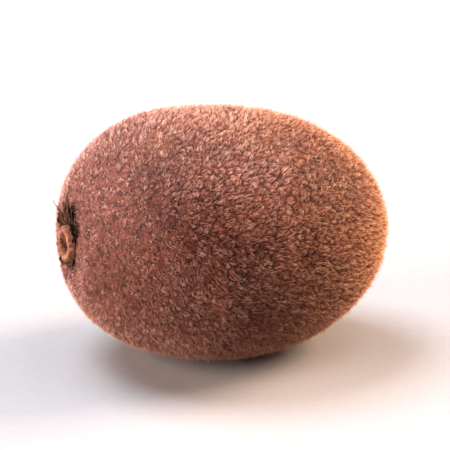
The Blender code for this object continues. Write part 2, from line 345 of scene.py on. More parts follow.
@dataclass(frozen=True)
class DrySepal:
    """A dried sepal: a brittle brown leaf, nearly black underneath and straw-coloured where its edge
    has worn thin."""

    leaf: Ramp = ((0.36, "#170b07"), (0.56, "#38200f"), (0.76, "#5c3a27"))
    straw: str = "#93694a"
    vein_mm: float = 0.5

    def material(self) -> Material:
        """Builds the dried leaf."""
        material, tree = new_material("dried_leaf")
        place = add_node(tree, "TexCoord", output="Object")
        worn = add_node(tree, "Attribute", output="Fac", attribute_name="worn")
        noise = {"Vector": place, "Scale": per_metre(self.vein_mm), "Detail": 4.0, "Roughness": 0.7}
        grain = add_node(tree, "TexNoise", noise)
        edge = add_node(tree, "Math", {0: grain, 1: 0.5, 2: worn}, operation="MULTIPLY_ADD")
        colours = {
            0: add_node(tree, "MapRange", {0: edge, 1: 1.12, 2: 1.42, 3: 0.0, 4: 0.85}),
            6: add_node(tree, "ValToRGB", {0: grain}, self.leaf),
            7: linear(self.straw),
        }
        settings = {
            "Base Color": add_node(tree, "Mix", colours, output=2, data_type="RGBA"),
            "Normal": add_node(tree, "Bump", {"Height": grain, "Strength": 0.7, "Distance": 0.2 * MM}),
            "Roughness": 0.85,
            "Specular IOR Level": 0.2,
        }
        feed(tree, tree.nodes["Principled BSDF"], settings)
        return material


@dataclass(frozen=True)
class DryStyle:
    """Dried flower styles: thin, shrivelled and almost black, with browner tips."""

    dark: str = "#1a0d07"
    brown: str = "#6b4228"
    grain_mm: float = 0.4

    def material(self) -> Material:
        """Builds the shrivelled strands."""
        material, tree = new_material("dried_style")
        place = add_node(tree, "TexCoord", output="Object")
        tip = add_node(tree, "Attribute", output="Fac", attribute_name="worn")
        noise = {"Vector": place, "Scale": per_metre(self.grain_mm), "Detail": 3.0}
        grain = add_node(tree, "TexNoise", noise)
        share = add_node(tree, "Math", {0: grain, 1: tip}, operation="MULTIPLY", use_clamp=True)
        colours = {0: share, 6: linear(self.dark), 7: linear(self.brown)}
        settings = {
            "Base Color": add_node(tree, "Mix", colours, output=2, data_type="RGBA"),
            "Normal": add_node(tree, "Bump", {"Height": grain, "Strength": 0.6, "Distance": 0.12 * MM}),
            "Roughness": 0.85,
            "Specular IOR Level": 0.2,
        }
        feed(tree, tree.nodes["Principled BSDF"], settings)
        return material


@dataclass(frozen=True)
class StudioPaper:
    """Matt white background paper."""

    fibres: Ramp = ((0.3, "#9a9692"), (0.7, "#9d9995"))
    fibre_mm: float = 2.0

    def material(self) -> Material:
        """Builds the paper."""
        material, tree = new_material("background_paper")
        place = add_node(tree, "TexCoord", output="Object")
        noise = {"Vector": place, "Scale": per_metre(self.fibre_mm), "Detail": 2.0}
        base = add_node(tree, "ValToRGB", {0: add_node(tree, "TexNoise", noise)}, self.fibres)
        feed(tree, tree.nodes["Principled BSDF"], {"Base Color": base, "Roughness": 0.9})
        return material


def deselect_all() -> None:
    """Leaves nothing selected, so that an operator acts only on what is picked next."""
    if bpy.context.mode != "OBJECT":
        bpy.ops.object.mode_set(mode="OBJECT")
    for obj in bpy.context.selected_objects:
        obj.select_set(False)


def take_up(obj: Object) -> Object:
    """Makes one object the only selected and the active one, and returns it."""
    deselect_all()
    obj.select_set(True)
    bpy.context.view_layer.objects.active = obj
    return obj


def edit_all(obj: Object) -> None:
    """Goes into edit mode with the whole object selected."""
    take_up(obj)
    bpy.ops.object.mode_set(mode="EDIT")
    bpy.ops.mesh.select_all(action="SELECT")


def lay_out(name: str, data: ID) -> Object:
    """Makes an object of a mesh, curve, light or camera, sets it in the scene and returns it."""
    obj = bpy.data.objects.new(name, data)
    bpy.context.scene.collection.objects.link(obj)
    return obj


def refine(obj: Object, levels: int) -> None:
    """Adds a Subdivision Surface of so many levels to an object."""
    modifier = obj.modifiers.new("refine", "SUBSURF")
    modifier.levels = modifier.render_levels = levels


def apply_modifiers(obj: Object) -> None:
    """Applies an object's modifiers in order."""
    take_up(obj)
    for modifier in list(obj.modifiers):
        bpy.ops.object.modifier_apply(modifier=modifier.name)


def joined(pieces: list[Object], name: str) -> Object:
    """Joins objects into one.

    Args:
        pieces: the objects, the first of which stays.
        name: the name of the joined object.

    Returns:
        The joined object.
    """
    take_up(pieces[0])
    for piece in pieces[1:]:
        piece.select_set(True)
    bpy.ops.object.join()
    pieces[0].name = name
    pieces[0].data.name = name
    return pieces[0]


def points_of(mesh: Mesh) -> np.ndarray:
    """Returns the places of a mesh's vertices, one row each."""
    places = np.empty(len(mesh.vertices) * 3)
    mesh.vertices.foreach_get("co", places)
    return places.reshape(-1, 3)


def set_points(mesh: Mesh, places: np.ndarray) -> None:
    """Moves a mesh's vertices to new places, one row each."""
    mesh.vertices.foreach_set("co", np.ascontiguousarray(places, np.float32).ravel())
    mesh.update()


def set_worn(mesh: Mesh, values: np.ndarray) -> None:
    """Stores how worn each vertex is, from 0 to 1, for the material to read."""
    attribute = mesh.attributes.new("worn", "FLOAT", "POINT")
    attribute.data.foreach_set("value", np.ascontiguousarray(values, np.float32))


def hand_over(obj: Object, material: Material, node: str) -> None:
    """Dresses a finished piece, sets it on its body and lets it stand for a solid.

    Args:
        obj: the piece, with its place in its mesh.
        material: its finish.
        node: the solid that it stands for, or nothing if it stands for none.
    """
    obj.data.materials.clear()
    obj.data.materials.append(material)
    obj.data.shade_smooth()
    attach(obj, BODY)
    if node:
        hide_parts(node)
    obj.data.calc_loop_triangles()
    log.info("%s: %d triangles", obj.name, len(obj.data.loop_triangles))


def smooth_step(value: np.ndarray, low: float, high: float) -> np.ndarray:
    """Returns 0 below low, 1 above high, and a smooth slope between."""
    share = np.clip((value - low) / (high - low), 0.0, 1.0)
    return share * share * (3.0 - 2.0 * share)


def unit(rows: np.ndarray) -> np.ndarray:
    """Returns the rows scaled to length 1."""
    return rows / np.maximum(np.linalg.norm(rows, axis=1, keepdims=True), TINY)


def circle_points(turn: np.ndarray, height: np.ndarray) -> np.ndarray:
    """Returns the points of a unit circle at angles and heights, one row each."""
    return np.stack([np.cos(turn), np.sin(turn), height], axis=1)


@dataclass
class Drift:
    """A smooth random field in space, for what varies from place to place."""

    cell: float
    seed: int
    side: int = 24
    channels: int = 3

    def at(self, places: np.ndarray) -> np.ndarray:
        """Reads the field.

        Args:
            places: points, one row each.

        Returns:
            One row a point, each value from -1 to 1.
        """
        size = (self.side, self.side, self.side, self.channels)
        values = np.random.default_rng(self.seed).uniform(-1.0, 1.0, size)
        scaled = places / self.cell
        floor = np.floor(scaled).astype(int)
        rest = scaled - floor
        rest = rest * rest * (3.0 - 2.0 * rest)
        total = np.zeros((len(places), self.channels))
        for corner in np.ndindex(2, 2, 2):
            index = (floor + corner) % self.side
            weight = np.prod(np.where(corner, rest, 1.0 - rest), axis=1)
            total += weight[:, None] * values[index[:, 0], index[:, 1], index[:, 2]]
        return total


@dataclass
class FruitForm:
    """The form of the fruit, read from its solid: its ends, and the skin under any point."""

    node: str = "fruit"

    def __post_init__(self) -> None:
        """Reads the solid's surface."""
        low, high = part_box(self.node)
        self.stem_x = low.x
        self.blossom_x = high.x
        self.axis = Vector((math.cos(AXIS_TILT), 0.0, -math.sin(AXIS_TILT)))
        self.read(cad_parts[self.node].data)

    def read(self, mesh: Mesh) -> None:
        """Takes a mesh as the skin that other pieces lie on."""
        self.tree = BVHTree.FromPolygons(
            [vertex.co for vertex in mesh.vertices],
            [tuple(polygon.vertices) for polygon in mesh.polygons],
        )

    def share_along(self, places: np.ndarray) -> np.ndarray:
        """Returns how far along the fruit points lie, 0 at the stem end and 1 at the blossom end."""
        return (places[:, 0] - self.stem_x) / (self.blossom_x - self.stem_x)

    def end_frame(self, end: End) -> Matrix:
        """The frame of the piece at one end.

        Args:
            end: which end of the fruit.

        Returns:
            A matrix with X towards the top, Z out of the fruit, and its origin at the middle of the
            end's solid, on the side that faces the fruit.
        """
        node = end.node
        low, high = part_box(node)
        out = self.axis * end.value
        top = Vector((math.sin(AXIS_TILT), 0.0, math.cos(AXIS_TILT)))
        across = out.cross(top)
        foot_x = high.x if end is End.STEM else low.x
        foot = Vector((foot_x, (low.y + high.y) / 2.0, (low.z + high.z) / 2.0))
        turned = Matrix((top, across, out)).transposed().to_4x4()
        return Matrix.Translation(foot) @ turned

    def from_end(self, places: np.ndarray, end: End) -> tuple[np.ndarray, np.ndarray]:
        """Measures points from one end.

        Args:
            places: the points, one row each.
            end: which end of the fruit.

        Returns:
            How far each point lies outwards along the axis, and how far from the axis.
        """
        out = np.array(self.axis) * end.value
        offset = places - np.array(self.end_frame(end).to_translation())
        along = offset @ out
        return along, np.linalg.norm(offset - along[:, None] * out, axis=1)

    def skin_under(self, at: Matrix, far: float, heading: float) -> tuple[Vector, Vector]:
        """The skin under a point of an end's frame.

        Args:
            at: the end's frame.
            far: the point's distance from the frame's origin.
            heading: its angle from the top to the front.

        Returns:
            The skin's point and its outward normal, in the frame of the solids.
        """
        out = at.to_3x3() @ Vector((0.0, 0.0, 1.0))
        start = at @ Vector((far * math.cos(heading), -far * math.sin(heading), RAY_HEIGHT))
        place, normal, _, _ = self.tree.ray_cast(start, -out)
        if place is None:
            place, normal, _, _ = self.tree.find_nearest(start)
        if normal.dot(out) < 0.0:
            normal = -normal
        return place, normal

    def over_skin(
        self, at: Matrix, reach: np.ndarray, headings: np.ndarray, heights: np.ndarray
    ) -> list[Vector]:
        """Lays points over the skin round an end.

        Args:
            at: the end's frame.
            reach: each point's distance from the frame's origin.
            headings: its angle from the top to the front.
            heights: its height over the skin.

        Returns:
            The points, in the frame of the solids.
        """
        points = []
        for far, heading, height in zip(reach, headings, heights):
            place, normal = self.skin_under(at, far, heading)
            points.append(place + normal * height)
        return points


@dataclass
class Peel:
    """The skin under the hairs: the solid's surface made fine, with low lumps and shallow pits. Round
    the scar it swells up to meet the wood."""

    form: FruitForm
    levels: int = 2
    swell: float = 0.42 * MM
    swell_radii: tuple[float, float] = (5.5 * MM, 9.0 * MM)
    swell_reach: float = 10.0 * MM  # how far back from the scar the skin swells
    lump_size: float = 5.0 * MM
    lump_height: float = 0.28 * MM
    pit_size: float = 1.6 * MM
    pit_depth: float = 0.12 * MM

    def build(self, finish: HairySkin) -> Object:
        """Makes the skin.

        Args:
            finish: its finish.

        Returns:
            The piece.
        """
        skin = lay_out("peel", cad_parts["fruit"].data.copy())
        edit_all(skin)
        bpy.ops.mesh.remove_doubles(threshold=WELD)
        bpy.ops.mesh.tris_convert_to_quads(face_threshold=1.0, shape_threshold=1.0)
        bpy.ops.object.mode_set(mode="OBJECT")
        refine(skin, self.levels)
        self.add_relief(skin, "lumps", self.lump_size, self.lump_height)
        self.add_relief(skin, "pits", self.pit_size, self.pit_depth)
        apply_modifiers(skin)
        places = points_of(skin.data)
        along, radial = self.form.from_end(places, End.STEM)
        rise = self.swell * (1.0 - smooth_step(radial, *self.swell_radii)) * (along > -self.swell_reach)
        places += rise[:, None] * np.array(self.form.axis) * End.STEM.value
        places[:, 2] = np.maximum(places[:, 2], 0.0)
        set_points(skin.data, places)
        self.form.read(skin.data)
        material = finish.material(self.form.stem_x, self.form.blossom_x)
        hand_over(skin, material, "fruit")
        return skin

    def add_relief(self, skin: Object, name: str, size: float, height: float) -> None:
        """Adds uneven relief of a size and height to the skin."""
        cloud = bpy.data.textures.new(name, "CLOUDS")
        cloud.noise_scale = size
        cloud.noise_depth = 2
        relief = skin.modifiers.new(name, "DISPLACE")
        relief.texture = cloud
        relief.texture_coords = "LOCAL"
        relief.strength = height
        relief.mid_level = 0.5


@dataclass
class HairKind:
    """One kind of hair of the coat. Lengths are in metres and angles in radians."""

    name: str
    count: int
    length: tuple[float, float]
    radius: float
    lean: float
    gather: float
    jointed: bool
    lightness: float
    seed: int


@dataclass(frozen=True)
class CoatColours:
    """How the hairs' places on their colour map vary. Both ways of the map run from 0 to 1."""

    by_tuft: float = 0.11  # spread of lightness from tuft to tuft
    by_patch: float = 0.06
    by_hair: float = 0.10
    uneven: tuple[float, float] = (1.35, -0.75)  # the spreads' strength, and its growth along
    stem_light: float = 0.05  # how much paler the hairs of the stem end are
    gold: tuple[float, float] = (0.26, 0.60)  # at the stem end, and its growth along
    gold_by_patch: float = 0.15
    gold_by_hair: float = 0.08
    stem_fades: tuple[float, float] = (0.05, 0.40)  # where along the fruit that ends
    gold_grows: tuple[float, float] = (0.32, 1.0)  # where along the fruit the gold comes in
    root_to_tip: float = 0.44  # rise of lightness up a hair
    middle: float = 0.65  # the height up a hair that has its own lightness
    across: float = 0.012  # a hair's width on the map, so that its faces don't fall on one line
    margin: float = 0.02  # kept free along the map's edges


@dataclass
class Tufts:
    """The small tufts that the hairs gather in, each with its own direction and shade."""

    centres: np.ndarray
    ways: np.ndarray
    shade: np.ndarray

    def __post_init__(self) -> None:
        """Sorts the centres, so that the nearest one is found fast."""
        self.index = KDTree(len(self.centres))
        for number, centre in enumerate(self.centres):
            self.index.insert(centre, number)
        self.index.balance()

    def nearest(self, places: np.ndarray) -> np.ndarray:
        """Returns the number of the tuft that each point belongs to."""
        return np.array([self.index.find(place)[1] for place in places])


@dataclass
class HairCoat:
    """The coat of short hairs. One hair is modelled and copied, each copy in its own direction."""

    form: FruitForm
    peel: Object
    tuft_count: int = 11500
    tuft_height: float = 0.75 * MM
    root_depth: float = 0.08 * MM
    floor_clearance: float = 0.06 * MM
    shortest: float = 0.25 * MM
    bare_radius: float = 4.1 * MM  # round the scar, where no hair grows
    downy_radius: float = 16.0 * MM  # round the scar, from where on hairs grow in full
    thin: tuple[float, float] = (0.80, 0.20)  # density at the bare radius, and its gain by the downy one
    short: tuple[float, float] = (0.6, 0.4)  # the same for the hairs' length
    growth: tuple[float, float] = (0.74, 0.48)  # length at the stem end, and its gain along the fruit
    bare_blossom: float = 1.8 * MM  # round the styles
    bare_floor: float = 0.25 * MM  # up from the floor
    end_reach: float = 14.0 * MM  # how far along the axis an end keeps hairs away
    flow_size: float = 13.0 * MM  # how far hairs keep much the same way
    patch_size: float = 9.0 * MM  # how far they keep much the same colour
    tuft_lean: tuple[float, float] = (0.70, 0.25)  # mean and spread, in radians
    tuft_lean_limits: tuple[float, float] = (0.10, 1.35)
    lean_spread: float = 0.28
    lean_limits: tuple[float, float] = (0.10, 1.45)
    gather_spread: float = 0.18
    gather_limits: tuple[float, float] = (0.0, 0.9)
    stoutness: tuple[float, float] = (0.75, 1.25)  # shares of the kind's radius
    joint_swell: float = 1.5  # a jointed hair is this much thicker at its joint
    along_pull: float = 0.80  # what turns hairs towards the blossom end,
    drift_pull: float = 0.75  # what turns neighbours the same way,
    disorder: float = 0.50  # and what turns each by chance
    colours: CoatColours = CoatColours()
    seed: int = 5

    def __post_init__(self) -> None:
        """Reads the peel's surface and spreads the tufts over it."""
        mesh = self.peel.data
        mesh.calc_loop_triangles()
        corners = np.empty(len(mesh.loop_triangles) * 3, int)
        mesh.loop_triangles.foreach_get("vertices", corners)
        self.corners = corners.reshape(-1, 3)
        self.places = points_of(mesh)
        normals = np.empty(len(mesh.vertices) * 3)
        mesh.vertices.foreach_get("normal", normals)
        self.normals = normals.reshape(-1, 3)
        rng = np.random.default_rng(self.seed)
        centres, outward = self.spread(self.tuft_count, rng)
        lean = np.clip(rng.normal(*self.tuft_lean, self.tuft_count), *self.tuft_lean_limits)
        flow = self.flow(centres, outward, rng)
        ways = outward * np.cos(lean)[:, None] + flow * np.sin(lean)[:, None]
        self.tufts = Tufts(centres, ways, rng.normal(0.0, 1.0, self.tuft_count))

    def model_hair(self, jointed: bool) -> tuple[np.ndarray, np.ndarray]:
        """Models one hair, 1 long and 1 in radius, standing on the origin.

        Args:
            jointed: whether the hair has a joint half way, so that it can bend.

        Returns:
            Its points and its triangles.
        """
        deselect_all()
        bpy.ops.mesh.primitive_cone_add(
            vertices=3, radius1=1.0, radius2=0.0, depth=1.0, location=(0.0, 0.0, 0.5)
        )
        hair = bpy.context.object
        bpy.ops.object.transform_apply(location=True, rotation=True, scale=True)
        edit_all(hair)
        if jointed:
            bpy.ops.mesh.bisect(plane_co=(0.0, 0.0, 0.5), plane_no=(0.0, 0.0, 1.0))
            bpy.ops.mesh.select_all(action="SELECT")
        bpy.ops.mesh.quads_convert_to_tris()
        bpy.ops.object.mode_set(mode="OBJECT")
        points = points_of(hair.data)
        if jointed:
            thicker = np.where(np.abs(points[:, 2] - 0.5) < 0.01, self.joint_swell, 1.0)
            points[:, :2] *= thicker[:, None]
        faces = np.array([tuple(polygon.vertices) for polygon in hair.data.polygons])
        bpy.data.objects.remove(hair)
        return points, faces

    def spread(self, count: int, rng: np.random.Generator) -> tuple[np.ndarray, np.ndarray]:
        """Spreads points over the skin, thickly where hairs grow thickly.

        Args:
            count: how many points.
            rng: the source of the random draws.

        Returns:
            The points and the skin's normals there, one row each.
        """
        a, b, c = (self.places[self.corners[:, i]] for i in range(3))
        areas = np.linalg.norm(np.cross(b - a, c - a), axis=1)
        weights = areas * self.density((a + b + c) / 3.0)
        picked = rng.choice(len(self.corners), count, p=weights / weights.sum())
        first, second = rng.random((2, count, 1))
        over = first + second > 1.0
        first = np.where(over, 1.0 - first, first)
        second = np.where(over, 1.0 - second, second)
        shares = (1.0 - first - second, first, second)
        corners = [self.corners[picked, i] for i in range(3)]
        points = sum(share * self.places[corner] for share, corner in zip(shares, corners))
        outward = sum(share * self.normals[corner] for share, corner in zip(shares, corners))
        return points, unit(outward)

    def distance_from_pole(self, places: np.ndarray, end: End) -> np.ndarray:
        """Returns how far points lie from the long axis, or far away at the other end."""
        along, radial = self.form.from_end(places, end)
        return np.where(np.abs(along) < self.end_reach, radial, 1.0)

    def density(self, places: np.ndarray) -> np.ndarray:
        """Returns how thickly hairs grow at points, from 0 to 1."""
        stem = self.distance_from_pole(places, End.STEM)
        blossom = self.distance_from_pole(places, End.BLOSSOM)
        grown = self.thin[0] + self.thin[1] * smooth_step(stem, self.bare_radius, self.downy_radius)
        grown *= (stem > self.bare_radius) & (blossom > self.bare_blossom)
        return grown * (places[:, 2] > self.bare_floor)

    def flow(self, places: np.ndarray, normals: np.ndarray, rng: np.random.Generator) -> np.ndarray:
        """Returns the way along the skin that hairs lean in at points, one unit row each."""
        way = np.array(self.form.axis)[None, :] * self.along_pull
        way = way + self.drift_pull * Drift(self.flow_size, self.seed + 1).at(places)
        way = way + rng.normal(0.0, self.disorder, places.shape)
        way = way - normals * np.sum(way * normals, axis=1)[:, None]
        return unit(way)

    def shape(
        self, kind: HairKind, roots: np.ndarray, normals: np.ndarray, rng: np.random.Generator
    ) -> tuple[np.ndarray, np.ndarray, np.ndarray]:
        """Lays the hairs along the fruit, their tips drawn together in tufts.

        Args:
            kind: the kind of hair.
            roots: where the hairs grow.
            normals: the skin's normals there.
            rng: the source of the random draws.

        Returns:
            The way that each hair starts in, the way from its root to its tip, both with the hair's
            length in them, and the number of its tuft.
        """
        low, high = kind.length
        stem = self.distance_from_pole(roots, End.STEM)
        grown = self.short[0] + self.short[1] * smooth_step(stem, self.bare_radius, self.downy_radius)
        grown = grown * (self.growth[0] + self.growth[1] * self.form.share_along(roots))
        length = rng.uniform(low, high, len(roots)) * grown
        lean = np.clip(rng.normal(kind.lean, self.lean_spread, len(roots)), *self.lean_limits)
        flow = self.flow(roots, normals, rng)
        ways = normals * np.cos(lean)[:, None] + flow * np.sin(lean)[:, None]
        number = self.tufts.nearest(roots)
        apex = self.tufts.centres[number] + self.tufts.ways[number] * self.tuft_height - roots
        grip = np.clip(rng.normal(kind.gather, self.gather_spread, len(roots)), *self.gather_limits)
        grip = grip[:, None]
        tips = ways * length[:, None]
        drawn = (1.0 - grip) * tips + grip * unit(apex) * length[:, None]
        return tips, drawn, number

    def grow(self, kind: HairKind, material: Material) -> Object:
        """Grows all the hairs of one kind.

        Args:
            kind: the kind of hair.
            material: its finish.

        Returns:
            The piece.
        """
        rng = np.random.default_rng(kind.seed)
        points, faces = self.model_hair(kind.jointed)
        roots, normals = self.spread(kind.count, rng)
        starts, tips, number = self.shape(kind, roots, normals, rng)
        room = np.maximum(roots[:, 2] - self.floor_clearance, 0.0)
        cut = np.minimum(1.0, room / np.maximum(-tips[:, 2], TINY))
        cut = np.minimum(cut, room / np.maximum(-starts[:, 2], TINY))
        kept = np.linalg.norm(tips, axis=1) * cut > self.shortest
        starts, tips = starts * cut[:, None], tips * cut[:, None]
        roots, normals, starts, tips, number = (
            rows[kept] for rows in (roots, normals, starts, tips, number)
        )
        side = unit(np.cross(tips, normals + 0.01))
        across = unit(np.cross(tips, side))
        radius = kind.radius * rng.uniform(*self.stoutness, len(roots))
        up = points[None, :, 2, None]
        places = (roots - normals * self.root_depth)[:, None, :]
        places = places + side[:, None, :] * (points[None, :, 0] * radius[:, None])[..., None]
        places = places + across[:, None, :] * (points[None, :, 1] * radius[:, None])[..., None]
        places = places + starts[:, None, :] * up + (tips - starts)[:, None, :] * up**2
        corners = np.arange(len(roots))[:, None, None] * len(points) + faces[None]
        mesh = bpy.data.meshes.new(kind.name)
        mesh.from_pydata(places.reshape(-1, 3), [], corners.reshape(-1, 3))
        spots = self.colour_spots(kind, roots, number, points, rng)
        layer = mesh.uv_layers.new(name=HAIR_MAP)
        layer.data.foreach_set("uv", spots[corners.ravel()].astype(np.float32).ravel())
        piece = lay_out(kind.name, mesh)
        hand_over(piece, material, "")
        return piece

    def colour_spots(
        self,
        kind: HairKind,
        roots: np.ndarray,
        number: np.ndarray,
        points: np.ndarray,
        rng: np.random.Generator,
    ) -> np.ndarray:
        """Picks each hair's place on the colour map: lightness across it, rosy to golden up it.

        Args:
            kind: the kind of hair.
            roots: where the hairs grow.
            number: the number of each hair's tuft.
            points: the points of one hair.
            rng: the source of the random draws.

        Returns:
            The map's places for all the hairs' points, one row each.
        """
        along = self.form.share_along(roots)
        patch = Drift(self.patch_size, self.seed + 5, channels=2).at(roots)
        tint = self.colours
        uneven = tint.uneven[0] + tint.uneven[1] * along
        light = kind.lightness + tint.by_tuft * uneven * self.tufts.shade[number]
        light = light + tint.by_patch * patch[:, 0]
        light = light + rng.normal(0.0, tint.by_hair, len(roots)) * uneven
        light = light + tint.stem_light * (1.0 - smooth_step(along, *tint.stem_fades))
        golden = tint.gold[0] + tint.gold[1] * smooth_step(along, *tint.gold_grows)
        golden = golden + tint.gold_by_patch * patch[:, 1]
        golden = golden + rng.normal(0.0, tint.gold_by_hair, len(roots))
        across = light[:, None] + tint.root_to_tip * (points[None, :, 2] - tint.middle)
        up = golden[:, None] + tint.across * points[None, :, 0]
        spots = np.stack([across, up], axis=2).reshape(-1, 2)
        return np.clip(spots, tint.margin, 1.0 - tint.margin)


@dataclass
class StemScar:
    """The woody ring that the stalk left, with its corky brim, dark pit and broken vessels."""

    form: FruitForm
    radius: float = 3.45 * MM
    wall: float = 0.66 * MM
    foot: float = 0.80 * MM
    sunk: float = 0.30 * MM
    flare: float = 0.09
    oval: float = 0.05
    pit_shift: tuple[float, float] = (0.25 * MM, -0.18 * MM)
    uneven_round: tuple[float, float] = (0.075, 0.030)  # coarse and fine shares of the radius
    uneven_brim: tuple[float, float] = (0.26 * MM, 0.16 * MM)  # coarse and fine heights
    crack_depth: float = 0.45 * MM
    chip_depth: float = 0.50 * MM
    sides: int = 72
    insets_mm: tuple[tuple[float, float], ...] = (  # inward and up, from the edge to the pit
        (0.13, 0.17),
        (0.22, 0.11),
        (0.30, 0.03),
        (0.32, -0.07),
        (0.28, -0.10),
        (0.22, -0.24),
        (0.22, -0.29),
        (0.33, -0.05),
        (0.33, 0.02),
        (0.29, 0.14),
        (0.25, 0.09),
    )

    def build(self, finish: WoodyScar) -> Object:
        """Makes the scar.

        Args:
            finish: its finish.

        Returns:
            The piece.
        """
        at = self.form.end_frame(End.STEM)
        deselect_all()
        bpy.ops.mesh.primitive_cylinder_add(
            vertices=self.sides,
            radius=self.radius,
            depth=self.wall + self.foot,
            location=(0.0, 0.0, (self.wall - self.foot) / 2.0),
        )
        scar = bpy.context.object
        scar.name = scar.data.name = "stalk_scar"
        bpy.ops.object.transform_apply(location=True, rotation=True, scale=True)
        self.pick_end(scar, -1.0)
        bpy.ops.mesh.inset(thickness=self.foot / 2.0, depth=0.0)
        self.pick_end(scar, 1.0)
        for inward, rise in self.insets_mm:
            bpy.ops.mesh.inset(thickness=inward * MM, depth=rise * MM)
        bpy.ops.mesh.poke()
        bpy.ops.object.mode_set(mode="OBJECT")
        refine(scar, 2)
        apply_modifiers(scar)
        self.wear(scar.data)
        scar.data.transform(at)
        hand_over(scar, finish.material(at, self.radius), "stem_scar")
        return scar

    def pick_end(self, scar: Object, side: float) -> None:
        """Selects the face at one end of the cylinder and goes into edit mode.

        Args:
            scar: the cylinder.
            side: 1 for the top face and -1 for the bottom face.
        """
        take_up(scar)
        bpy.ops.object.mode_set(mode="EDIT")
        bpy.ops.mesh.select_all(action="DESELECT")
        bpy.ops.object.mode_set(mode="OBJECT")
        # Only the two end faces have more than four corners
        for polygon in scar.data.polygons:
            polygon.select = polygon.normal.z * side > 0.9 and len(polygon.vertices) > 4
        bpy.ops.object.mode_set(mode="EDIT")

    def wear(self, mesh: Mesh) -> None:
        """Makes the scar oval, splits its wood along the fibres and chips its brim."""
        places = points_of(mesh)
        turn = np.arctan2(places[:, 1], places[:, 0])
        distance = np.hypot(places[:, 0], places[:, 1])
        share = distance / self.radius
        ring = circle_points(turn, share * 0.8)
        coarse = Drift(0.55, 31, channels=2).at(ring)
        fine = Drift(0.10, 32, channels=2).at(ring)
        grip = smooth_step(share, 0.15, 1.0)
        widen = 1.0 + self.oval * np.cos(2.0 * turn) * grip
        widen += (self.uneven_round[0] * coarse[:, 0] + self.uneven_round[1] * fine[:, 0]) * grip
        widen += self.flare * (1.0 - smooth_step(places[:, 2], -self.foot, 0.3 * MM)) * grip
        places[:, :2] *= widen[:, None]
        inner = 1.0 - smooth_step(share, 0.25, 0.85)
        places[:, :2] += np.array(self.pit_shift) * inner[:, None]
        # The wear grows from a little above the foot up to the brim, so that the foot stays whole
        above = smooth_step(places[:, 2], 0.2 * MM, self.wall)
        uneven = self.uneven_brim[0] * coarse[:, 1] + self.uneven_brim[1] * fine[:, 1]
        places[:, 2] += above * uneven
        rays = circle_points(turn, share * 0.12)
        cracks = smooth_step(Drift(0.13, 33, channels=1).at(rays)[:, 0], 0.25, 0.75)
        places[:, 2] -= self.crack_depth * cracks * smooth_step(share, 0.42, 0.6) * above
        chips = smooth_step(Drift(0.30, 34, channels=1).at(rays)[:, 0], 0.30, 0.60)
        places[:, 2] -= self.chip_depth * chips * smooth_step(share, 0.80, 0.92) * above
        places[:, 2] -= self.sunk
        set_points(mesh, places)


@dataclass
class LeafShape:
    """One dried sepal or shred. Angles are in radians, its heading from the top to the front."""

    heading: float
    length: float
    half_width: float
    arc: float
    roll: float
    twist: float
    root: float
    seed: int


